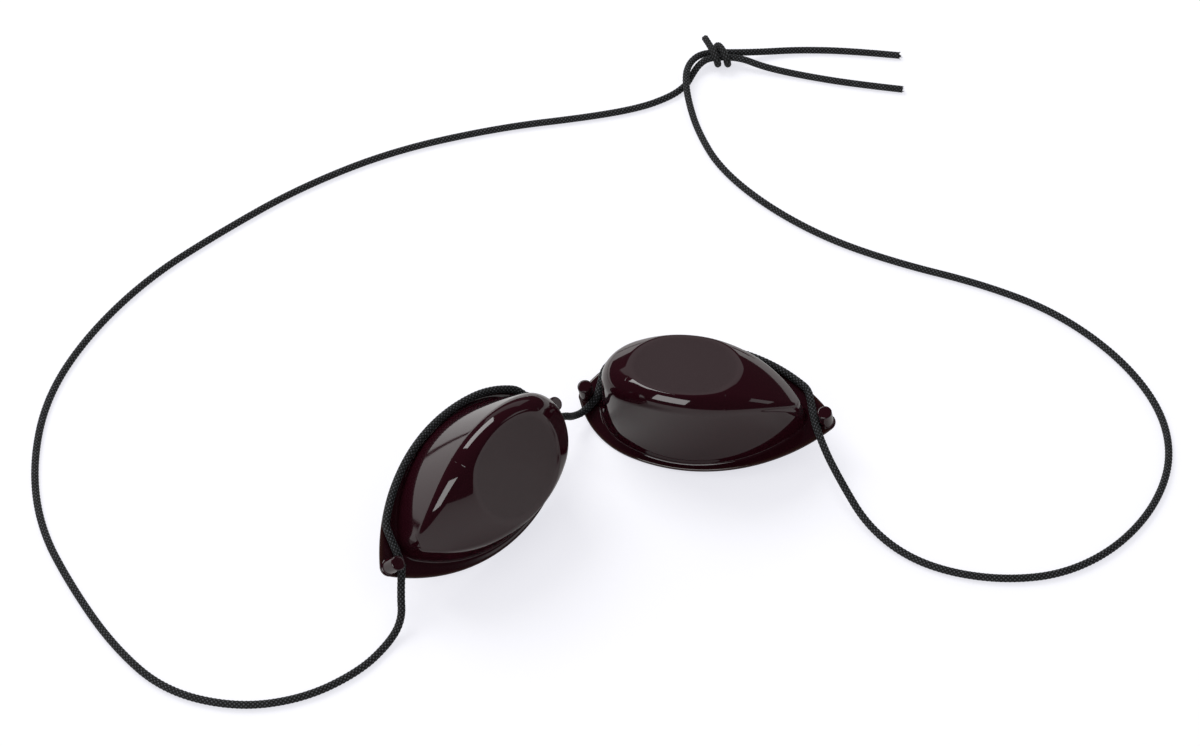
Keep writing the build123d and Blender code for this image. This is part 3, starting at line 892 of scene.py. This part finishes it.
def tinted_plastic():
    """Injection-moulded smoke-plum plastic, polished: near black in the bulk, red-brown where thin."""
    material, tree = new_material("tinted polycarbonate")
    if tree is None:
        return material
    place = node(tree, "ShaderNodeTexCoord").outputs["Object"]
    # Moulded plastic is never quite even: a slow drift in gloss keeps the reflections alive
    drift = node(tree, "ShaderNodeTexNoise", {"Vector": place, "Scale": 90.0, "Detail": 2.0})
    low, high = GLOSS_RANGE
    gloss = node(
        tree,
        "ShaderNodeMapRange",
        {"Value": drift.outputs["Fac"], "From Min": 0.3, "From Max": 0.7, "To Min": low, "To Max": high},
    )
    # The lens face came off a less polished part of the mould, so what it mirrors is blurred
    lens_face = node(tree, "ShaderNodeAttribute", attribute_name="lens_face").outputs["Fac"]
    roughness = maths(tree, "MULTIPLY_ADD", lens_face, LENS_BLUR, gloss.outputs["Result"])
    # A few dust grains sit on the domes: small pale matt dots, far apart
    grains = node(tree, "ShaderNodeTexVoronoi", {"Vector": place, "Scale": DUST_SCALE})
    parts = node(tree, "ShaderNodeSeparateColor", {"Color": grains.outputs["Color"]})
    chance = maths(tree, "GREATER_THAN", parts.outputs["Red"], DUST_RARITY)
    spot = maths(tree, "LESS_THAN", grains.outputs["Distance"], DUST_SPOT)
    # Light gets through the thin flange edge, so the tint shows its red there
    thin = node(tree, "ShaderNodeAttribute", attribute_name="thin_edge").outputs["Fac"]
    tint = mixed(tree, thin, linear(PLUM), linear(THIN_PLUM))
    colour = mixed(tree, maths(tree, "MULTIPLY", chance, spot), tint, linear(DUST))
    surface = node(
        tree,
        "ShaderNodeBsdfPrincipled",
        {"Base Color": colour, "Roughness": roughness, "IOR": 1.5},
    )
    node(tree, "ShaderNodeOutputMaterial", {"Surface": surface.outputs["BSDF"]})
    return material


def braided_cord(name, shaded_pocket, lit_ridge):
    """Textured polyester braided over rubber: matt ribbons with painted shade in the pockets, painted light
    on the crests, and fine filaments.
    """
    material, tree = new_material(name)
    if tree is None:
        return material
    # Painted light and shade: where the braid's relief is high its crests are painted lighter, and everywhere
    # else it keeps the dark painted shade of its pockets
    relief = node(tree, "ShaderNodeAttribute", attribute_name="relief")
    over = node(tree, "ShaderNodeAttribute", attribute_name="over")
    shade = node(
        tree,
        "ShaderNodeMapRange",
        {"Value": relief.outputs["Fac"], "From Min": LIT_CREST_START, "From Max": 1.0},
        interpolation_type="SMOOTHSTEP",
    )
    # A slow noise varies the crests' painted light a little along the cord, like uneven yarn dye
    place = node(tree, "ShaderNodeTexCoord").outputs["Object"]
    drift = node(tree, "ShaderNodeTexNoise", {"Vector": place, "Scale": 900.0, "Detail": 3.0})
    lit = maths(tree, "MULTIPLY", shade.outputs["Result"], drift.outputs["Fac"])
    colour = mixed(tree, lit, linear(shaded_pocket), linear(lit_ridge))
    # Filaments run along whichever ribbon is on top, so they lean one way or the other
    braid_place = node(tree, "ShaderNodeUVMap", uv_map="braid")
    axes = node(tree, "ShaderNodeSeparateXYZ", {"Vector": braid_place.outputs["UV"]})
    waves = []
    for way in (1.0, -1.0):
        lean = maths(tree, "MULTIPLY", axes.outputs["Y"], way)
        phase = maths(tree, "MULTIPLY_ADD", axes.outputs["X"], float(RIBBONS), lean)
        waves.append(maths(tree, "SINE", maths(tree, "MULTIPLY", phase, 2 * math.pi * FILAMENTS)))
    filament = node(
        tree, "ShaderNodeMix", {0: over.outputs["Fac"], 2: waves[1], 3: waves[0]}, data_type="FLOAT"
    )
    bump = node(
        tree,
        "ShaderNodeBump",
        {"Strength": 0.5, "Distance": 0.01 * MM, "Height": filament.outputs[0]},
    )
    surface = node(
        tree,
        "ShaderNodeBsdfPrincipled",
        {
            "Base Color": colour,
            "Roughness": 0.7,
            "Specular IOR Level": 0.3,
            "Sheen Weight": 0.1,
            "Sheen Roughness": 0.4,
            "Normal": bump.outputs["Normal"],
        },
    )
    node(tree, "ShaderNodeOutputMaterial", {"Surface": surface.outputs["BSDF"]})
    return material


def loose_filaments():
    """Single polyester filaments at a cut end: thin, dark and without shine."""
    material, tree = new_material("loose filaments")
    if tree is None:
        return material
    surface = node(
        tree,
        "ShaderNodeBsdfPrincipled",
        {"Base Color": linear(FILAMENT), "Roughness": 0.8, "Specular IOR Level": 0.05},
    )
    node(tree, "ShaderNodeOutputMaterial", {"Surface": surface.outputs["BSDF"]})
    return material


def table_paint():
    """White matt laminate: an even pale ground with the faintest tooth, which takes soft shadows."""
    material, tree = new_material("white laminate")
    if tree is None:
        return material
    place = node(tree, "ShaderNodeTexCoord").outputs["Object"]
    tooth = node(tree, "ShaderNodeTexNoise", {"Vector": place, "Scale": 700.0, "Detail": 2.0})
    bump = node(
        tree,
        "ShaderNodeBump",
        {"Strength": 0.1, "Distance": 0.05 * MM, "Height": tooth.outputs["Fac"]},
    )
    surface = node(
        tree,
        "ShaderNodeBsdfPrincipled",
        {"Base Color": linear(TABLE), "Roughness": 0.75, "Normal": bump.outputs["Normal"]},
    )
    # To the camera alone the table is lifted towards white, so its shadows stay faint and cool
    lift = node(tree, "ShaderNodeEmission", {"Color": linear(TABLE_LIFT), "Strength": LIFT_STRENGTH})
    ray = node(tree, "ShaderNodeLightPath")
    share = maths(tree, "MULTIPLY", ray.outputs["Is Camera Ray"], LIFT_SHARE)
    seen = node(
        tree, "ShaderNodeMixShader", {0: share, 1: surface.outputs["BSDF"], 2: lift.outputs[0]}
    )
    node(tree, "ShaderNodeOutputMaterial", {"Surface": seen.outputs[0]})
    return material


class GogglesCupSettings(bpy.types.PropertyGroup):
    """Sizes of the moulded eye cups."""

    lens_radius: bpy.props.FloatProperty(
        name="Lens radius", description="Radius of the flat lens facet", default=LENS_RADIUS, unit="LENGTH"
    )
    lens_edge_width: bpy.props.FloatProperty(
        name="Lens edge",
        description="Width of the rounded edge round the lens",
        default=LENS_EDGE_WIDTH,
        unit="LENGTH",
    )
    crown_radius: bpy.props.FloatProperty(
        name="Crown radius",
        description="Radius of the round crown under the lens",
        default=CROWN_RADIUS,
        unit="LENGTH",
    )
    shoulder_radius: bpy.props.FloatProperty(
        name="Shoulder radius",
        description="Radius between the wall and the crown",
        default=SHOULDER_RADIUS,
        unit="LENGTH",
    )
    flange_edge_radius: bpy.props.FloatProperty(
        name="Flange edge",
        description="Radius of the flange's edges",
        default=FLANGE_EDGE_RADIUS,
        unit="LENGTH",
    )
    post_radius: bpy.props.FloatProperty(
        name="Post radius", description="Radius of the cord posts", default=POST_RADIUS, unit="LENGTH"
    )
    post_rise: bpy.props.FloatProperty(
        name="Post rise",
        description="Height of the cord posts above the flange",
        default=POST_RISE,
        unit="LENGTH",
    )
    post_edge_radius: bpy.props.FloatProperty(
        name="Post edge",
        description="Radius of the rim on top of a post",
        default=POST_EDGE_RADIUS,
        unit="LENGTH",
    )


class GogglesCordSettings(bpy.types.PropertyGroup):
    """Sizes of the braided cord."""

    diameter: bpy.props.FloatProperty(
        name="Diameter",
        description="Diameter of the cord over its braid",
        default=CORD_DIAMETER,
        unit="LENGTH",
    )
    relief: bpy.props.FloatProperty(
        name="Braid relief",
        description="How far a ribbon stands above the pockets beside it",
        default=BRAID_RELIEF,
        unit="LENGTH",
    )
    ribbons: bpy.props.IntProperty(
        name="Ribbons",
        description="Ribbons wound each way round the cord, an even number",
        default=RIBBONS,
        subtype="UNSIGNED",
    )
    ribbon_pitch: bpy.props.FloatProperty(
        name="Ribbon pitch",
        description="Distance along the cord from one ribbon to the next",
        default=RIBBON_PITCH,
        unit="LENGTH",
    )
    fray_length: bpy.props.FloatProperty(
        name="Fray length",
        description="Length of the longest loose filaments at a cut end",
        default=FRAY_LENGTH,
        unit="LENGTH",
    )


class GogglesStageSettings(bpy.types.PropertyGroup):
    """Strengths of the studio lights."""

    key_power: bpy.props.FloatProperty(
        name="Key light",
        description="Power of the large soft light at the upper left",
        default=KEY_POWER,
        unit="POWER",
    )
    back_power: bpy.props.FloatProperty(
        name="Back light",
        description="Power of the wide light behind the object",
        default=BACK_POWER,
        unit="POWER",
    )
    front_power: bpy.props.FloatProperty(
        name="Front light",
        description="Power of the soft light beside the camera, at its left",
        default=FRONT_POWER,
        unit="POWER",
    )
    side_power: bpy.props.FloatProperty(
        name="Side light", description="Power of the dim panel at the right", default=SIDE_POWER, unit="POWER"
    )
    fill: bpy.props.FloatProperty(
        name="Fill", description="Brightness of the even light from all round", default=FILL, subtype="FACTOR"
    )


class BuildEyeCups(bpy.types.Operator):
    """Build the two tinted eye cups where they lie"""

    bl_idname = "goggles.build_eye_cups"
    bl_label = "Build eye cups"

    def execute(self, context):
        cup = context.scene.goggles_cup
        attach(build_cup(cup, "right_eye_cup", RIGHT_LIE), "right_cup")
        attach(build_cup(cup, "left_eye_cup", LEFT_LIE), "left_cup")
        return {"FINISHED"}


def held_cords(scene):
    """The lines of the cord laced on each cup, with the upward way of its cup."""
    found = []
    for cup_node, lie, wraps, side in (
        ("right_eye_cup", RIGHT_LIE, (RIGHT_NOSE_WRAP, RIGHT_TEMPLE_WRAP), 1),
        ("left_eye_cup", LEFT_LIE, (LEFT_NOSE_WRAP, LEFT_TEMPLE_WRAP), -1),
    ):
        rotation, shift = cup_lie(scene.goggles_cup, cup_node, lie)
        path = rim_path(scene.goggles_cord, *wraps, side) @ rotation.T + shift
        found.append(make_line(scene.goggles_cord, path, rotation[:, 2]))
    return found


class BuildHeldCords(bpy.types.Operator):
    """Build the two stretches of cord laced round the flanges"""

    bl_idname = "goggles.build_held_cords"
    bl_label = "Build held cords"

    def execute(self, context):
        material = braided_cord("braided elastic", CORD_SHADED_POCKET, CORD_LIT_RIDGE)
        for side, line in zip(("right", "left"), held_cords(context.scene)):
            made = build_cord(context.scene.goggles_cord, f"{side}_rim_braid", line, material)
            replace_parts(made, f"{side}_rim_cord")
            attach(made, f"{side}_cup")
        return {"FINISHED"}


def leaving(held, run, offsets, route, end_run):
    """Corners of a stretch that leaves a held cord's first point, follows a route and enters the knot.

    The offsets count along and across from that first point, and up from the table."""
    first, way = held.points[0], -held.way[0]
    near_cup = np.array(offsets) * MM + first * (1, 1, 0)
    return np.concatenate([[first, first + way * run], near_cup, np.array(route) * MM, end_run])


def strand_middles(cord):
    """Where the two strands lie in the middle of the knot, upper and lower in plan."""
    radius = cord.diameter / 2
    offset = radius + KNOT_STRAND_GAP / 2
    height = KNOT_FLOOR_GAP + radius + cord.diameter + KNOT_FIT
    middle = KNOT_PLACE[0] + KNOT_PITCH * KNOT_LAST_QUARTER / 4 - KNOT_SLANT
    return [np.array([middle, KNOT_PLACE[1] + side * offset, height]) for side in (1, -1)]


def easing(line, first_up, reach):
    """The line with its upward way turned from that of a cup to the vertical over a reach."""
    share = np.clip(line.run / reach, 0, 1)[:, None]
    share = share * share * (3 - 2 * share)
    return line._replace(up=(1 - share) * first_up + share * np.array([0, 0, 1.0]))


class BuildBands(bpy.types.Operator):
    """Build the bridge, the two long bands and the two tails of the elastic cord"""

    bl_idname = "goggles.build_bands"
    bl_label = "Build bands and tails"

    def execute(self, context):
        cord = context.scene.goggles_cord
        material = braided_cord("braided elastic", CORD_SHADED_POCKET, CORD_LIT_RIDGE)
        right, left = held_cords(context.scene)
        upper, lower = strand_middles(cord)
        ahead = np.array([1.0, 0, 0])

        bridge_corners = [
            right.points[-1],
            right.points[-1] + right.way[-1] * BRIDGE_RUN,
            *(np.array(BRIDGE_ROUTE) * MM),
            left.points[-1] + left.way[-1] * BRIDGE_RUN,
            left.points[-1],
        ]
        bridge = make_line(cord, spline_path(np.array(bridge_corners)), right.up[0])
        share = np.linspace(0, 1, len(bridge.run))[:, None]
        bridge = bridge._replace(up=(1 - share) * right.up[0] + share * left.up[0])
        length = bridge.run[-1]
        ends = bridge.points[[0, np.searchsorted(bridge.run, length / 2), -1]]
        halves = [
            ("right", (0, length / 2), "right_cup", "nose_bridge", ends[0], ends[1]),
            ("left", (length / 2, length), "nose_bridge", "left_cup", ends[1], ends[2]),
        ]
        for side, cuts, first_body, last_body, start, end in halves:
            made = build_cord(cord, f"nose_bridge_{side}_half", cut_line(bridge, *cuts), material)
            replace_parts(made, "bridge_cord")
            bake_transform(made)

        left_end = [lower - ahead * KNOT_STRAND_RUN, lower]
        right_end = [upper - ahead * KNOT_STRAND_RUN, upper]
        left_path = spline_path(
            leaving(left, LEFT_BAND_FIRST_RUN, LEFT_BAND_FROM_TEMPLE, LEFT_BAND_ROUTE, left_end)
        )
        right_path = spline_path(
            leaving(right, RIGHT_BAND_FIRST_RUN, RIGHT_BAND_FROM_TEMPLE, RIGHT_BAND_ROUTE, right_end)
        )
        left_band = easing(make_line(cord, left_path, left.up[0]), left.up[0], UP_EASING)
        right_band = easing(make_line(cord, right_path, right.up[0]), right.up[0], UP_EASING)
        self.build_stretches(cord, material, "left", left_band, LEFT_BAND_CUTS, LEFT_BAND_BODIES)
        self.build_stretches(cord, material, "right", right_band, RIGHT_BAND_CUTS, RIGHT_BAND_BODIES)

        for number, (side, start, route) in enumerate(
            (("upper", upper, UPPER_TAIL_ROUTE), ("lower", lower, LOWER_TAIL_ROUTE))
        ):
            corners = np.concatenate([[start, start + ahead * TAIL_FIRST_RUN], np.array(route) * MM])
            tail = make_line(cord, spline_path(corners), (0, 0, 1.0))
            frays = join_skins(fray_skins(cord, tail.points[-1], tail.way[-1], number))
            fray = mesh_object(f"{side}_tail_fray", *frays, loose_filaments())
            made = build_cord(cord, f"{side}_tail", tail, material)
            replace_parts(made, f"{side}_tail_cord")
            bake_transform(made)
            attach(fray, "right_cup")
        return {"FINISHED"}

    def build_stretches(self, cord, material, side, band, cuts, bodies):
        """A long band in stretches: one that follows a single body is attached to it, one between two joined
        bodies is left in place.
        """
        ends = [0.0, *cuts, band.run[-1]]
        for number, (start, end, (first_body, last_body)) in enumerate(zip(ends, ends[1:], bodies), 1):
            line = cut_line(band, start, end)
            made = build_cord(cord, f"{side}_band_stretch_{number}", line, material)
            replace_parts(made, f"{side}_band_cord")
            if first_body == last_body:
                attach(made, first_body)
            else:
                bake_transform(made)


class BuildKnot(bpy.types.Operator):
    """Build the short cord wound round both strands"""

    bl_idname = "goggles.build_knot"
    bl_label = "Build sliding knot"

    def execute(self, context):
        cord = context.scene.goggles_cord
        upper, lower = strand_middles(cord)
        rise = cord.diameter + KNOT_FIT
        reach = (upper[1] - lower[1]) / 2 + rise
        quarter = np.linspace(KNOT_FIRST_QUARTER, KNOT_LAST_QUARTER, KNOT_STEPS)
        angle = quarter * np.pi / 2
        winding = np.column_stack(
            [
                KNOT_PLACE[0] + KNOT_PITCH * quarter / 4 - KNOT_SLANT * np.cos(angle),
                KNOT_PLACE[1] + reach * np.cos(angle),
                upper[2] + rise * np.sin(angle),
            ]
        )
        first_way, last_way = unit(winding[1] - winding[0]), unit(winding[-1] - winding[-2])
        start, end = winding[0] - first_way * KNOT_STUB, winding[-1] + last_way * cord.diameter
        line = make_line(cord, np.concatenate([[start], winding, [end]]), (1.0, 0, 0))
        material = braided_cord("braided knot cord", KNOT_SHADED_POCKET, KNOT_LIT_RIDGE)
        made = build_cord(cord, "sliding_knot", line, material)
        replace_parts(made, "slide_knot")
        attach(made, "knot")
        return {"FINISHED"}


def soft_light(name, place, size, power):
    """A rectangular area light at a place, turned to face the middle of the view."""
    data = bpy.data.lights.new(name, "AREA")
    data.shape = "RECTANGLE"
    data.size, data.size_y = size
    data.energy = power
    made = bpy.data.objects.new(name, data)
    made.location = place
    towards = Vector(CAMERA_FOCUS) - made.location
    made.rotation_euler = towards.to_track_quat("-Z", "Y").to_euler()
    bpy.context.scene.collection.objects.link(made)
    return made


class BuildStage(bpy.types.Operator):
    """Build the table, the lights and the camera"""

    bl_idname = "goggles.build_stage"
    bl_label = "Build stage"

    def execute(self, context):
        scene = context.scene
        stage = scene.goggles_stage
        span = np.linspace(-TABLE_HALF, TABLE_HALF, 3)
        grid = np.stack(np.meshgrid(span, span), axis=2).reshape(-1, 2)
        points = np.column_stack([grid, np.zeros(9)])
        first = np.array([0, 1, 3, 4])
        quads = np.stack([first, first + 1, first + 4, first + 3], axis=1)
        mesh = bpy.data.meshes.new("table")
        mesh.from_pydata(points.tolist(), [], quads.tolist())
        mesh.materials.append(table_paint())
        table = bpy.data.objects.new("table", mesh)
        scene.collection.objects.link(table)

        lights = [
            soft_light("key", KEY_PLACE, KEY_SIZE, stage.key_power),
            soft_light("back", BACK_PLACE, BACK_SIZE, stage.back_power),
            soft_light("front", FRONT_PLACE, FRONT_SIZE, stage.front_power),
            soft_light("side", SIDE_PLACE, SIDE_SIZE, stage.side_power),
        ]
        camera_data = bpy.data.cameras.new("camera")
        camera_data.sensor_width = SENSOR_WIDTH_MM
        camera_data.lens = CAMERA_FOCAL_PIXELS / PHOTO_WIDTH * SENSOR_WIDTH_MM
        camera_data.clip_start = CAMERA_CLIP_START
        camera = bpy.data.objects.new("camera", camera_data)
        camera.location = CAMERA_PLACE
        towards = Vector(CAMERA_FOCUS) - camera.location
        camera.rotation_euler = towards.to_track_quat("-Z", "Y").to_euler()
        scene.collection.objects.link(camera)
        scene.camera = camera
        # The panels beside the camera and at the right are cards that only the gloss picks up
        for card in lights[2:]:
            card.visible_diffuse = False

        world = bpy.data.worlds.new("studio")
        world.use_nodes = True
        tree = world.node_tree
        tree.nodes.clear()
        # A lit room for the table, a dark one in the gloss of the cups
        even = node(tree, "ShaderNodeBackground", {"Color": linear("FFFFFF"), "Strength": stage.fill})
        dark = node(tree, "ShaderNodeBackground", {"Color": linear("FFFFFF"), "Strength": DARK_ROOM})
        ray = node(tree, "ShaderNodeLightPath")
        both = node(
            tree,
            "ShaderNodeMixShader",
            {0: ray.outputs["Is Glossy Ray"], 1: even.outputs[0], 2: dark.outputs[0]},
        )
        node(tree, "ShaderNodeOutputWorld", {"Surface": both.outputs[0]})
        scene.world = world
        scene.view_settings.view_transform = "Standard"
        return {"FINISHED"}


class GogglesPanel(bpy.types.Panel):
    """Settings and build buttons for the tanning goggles"""

    bl_idname = "VIEW3D_PT_goggles"
    bl_label = "Tanning goggles"
    bl_space_type = "VIEW_3D"
    bl_region_type = "UI"
    bl_category = "Goggles"

    def draw(self, context):
        for settings, operators in PANEL_ROWS:
            column = self.layout.column()
            group = getattr(context.scene, settings)
            for name in group.bl_rna.properties.keys():
                if name not in ("rna_type", "name"):
                    column.prop(group, name)
            for operator in operators:
                column.operator(operator.bl_idname)


PANEL_ROWS = [
    ("goggles_cup", [BuildEyeCups]),
    ("goggles_cord", [BuildHeldCords, BuildBands, BuildKnot]),
    ("goggles_stage", [BuildStage]),
]
SETTINGS = {
    "goggles_cup": GogglesCupSettings,
    "goggles_cord": GogglesCordSettings,
    "goggles_stage": GogglesStageSettings,
}
CLASSES = [
    *SETTINGS.values(),
    BuildEyeCups,
    BuildHeldCords,
    BuildBands,
    BuildKnot,
    BuildStage,
    GogglesPanel,
]


def register():
    """Registers the classes and hangs the settings on the scene."""
    for each in CLASSES:
        bpy.utils.register_class(each)
    for name, group in SETTINGS.items():
        setattr(bpy.types.Scene, name, bpy.props.PointerProperty(type=group))


def unregister():
    """Takes the settings off the scene and the classes out again."""
    for name in SETTINGS:
        delattr(bpy.types.Scene, name)
    for each in reversed(CLASSES):
        bpy.utils.unregister_class(each)


def main():
    """Builds the goggles and their stage."""
    register()
    bpy.ops.goggles.build_eye_cups()
    bpy.ops.goggles.build_held_cords()
    bpy.ops.goggles.build_bands()
    bpy.ops.goggles.build_knot()
    bpy.ops.goggles.build_stage()
    bpy.context.view_layer.update()


if __name__ == "__main__":
    main()
